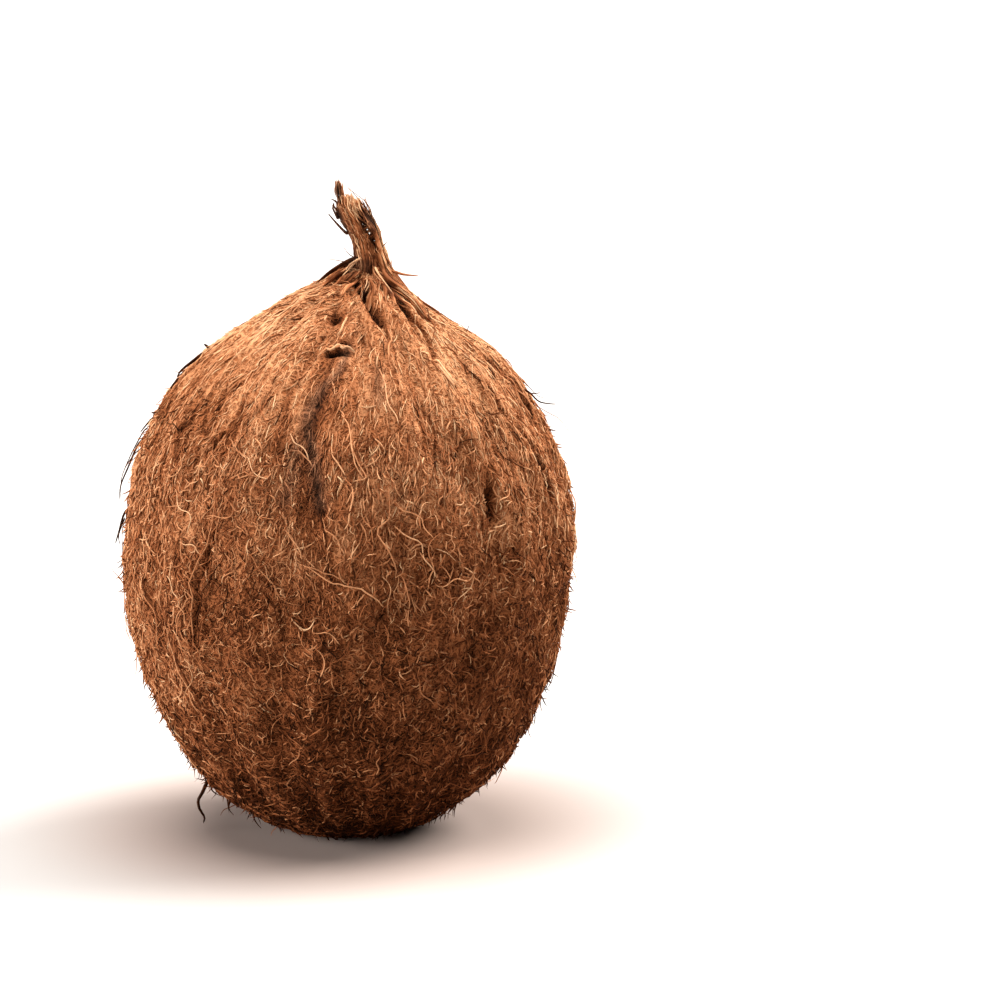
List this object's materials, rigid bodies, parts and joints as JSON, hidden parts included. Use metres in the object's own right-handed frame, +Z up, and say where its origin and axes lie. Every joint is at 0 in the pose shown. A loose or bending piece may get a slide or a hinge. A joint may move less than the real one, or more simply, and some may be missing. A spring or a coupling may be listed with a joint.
{
  "type": "coconut",
  "caption": "Whole brown coconut with its husk stripped to a matted coat of fibre, a frayed tuft at the stem end and a small flat spot to rest on.",
  "frame": {"origin": "centre of the flat spot that the nut stands on", "axes": "+Z up along the nut's axis to the tufted stem end; -Y faces the viewer of the reference picture, +X to that viewer's right"},
  "size_m": [0.121, 0.121, 0.1677],
  "materials": {
    "coir": "matt, rough, matted reddish-brown husk fibre with paler loose strands"
  },
  "bodies": {
    "root": {"coconut": "coir"}
  },
  "joints": []
}
